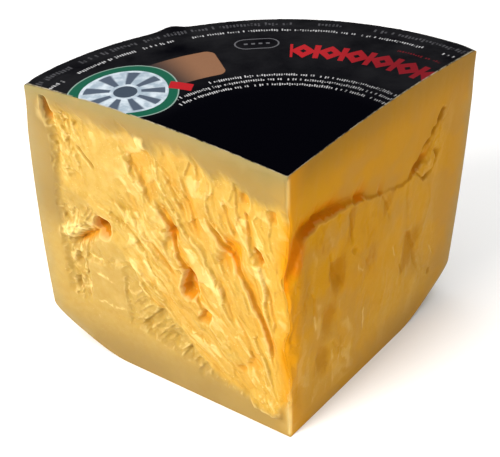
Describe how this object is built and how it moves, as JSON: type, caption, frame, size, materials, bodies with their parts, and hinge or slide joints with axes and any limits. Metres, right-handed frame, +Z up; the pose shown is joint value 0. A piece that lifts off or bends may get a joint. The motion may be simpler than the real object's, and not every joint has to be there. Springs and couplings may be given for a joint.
{
  "type": "cheese wedge",
  "caption": "Wedge of hard grating cheese cut from a round wheel, with torn cut faces, natural rind, rounded heel and a dark printed film label on its top face.",
  "frame": {"origin": "centre of the bounding box in plan, at the level the wedge stands on", "axes": "+Z up, the tip points along -Y, the rind faces +Y, and X runs from one cut corner of the rind to the other"},
  "size_m": [0.1972, 0.1337, 0.1395],
  "materials": {
    "paste": "moist, slightly translucent, torn and granular",
    "label_film": "satin printed film"
  },
  "bodies": {
    "root": {"cheese_wedge": "paste", "top_label": "label_film"}
  },
  "joints": []
}
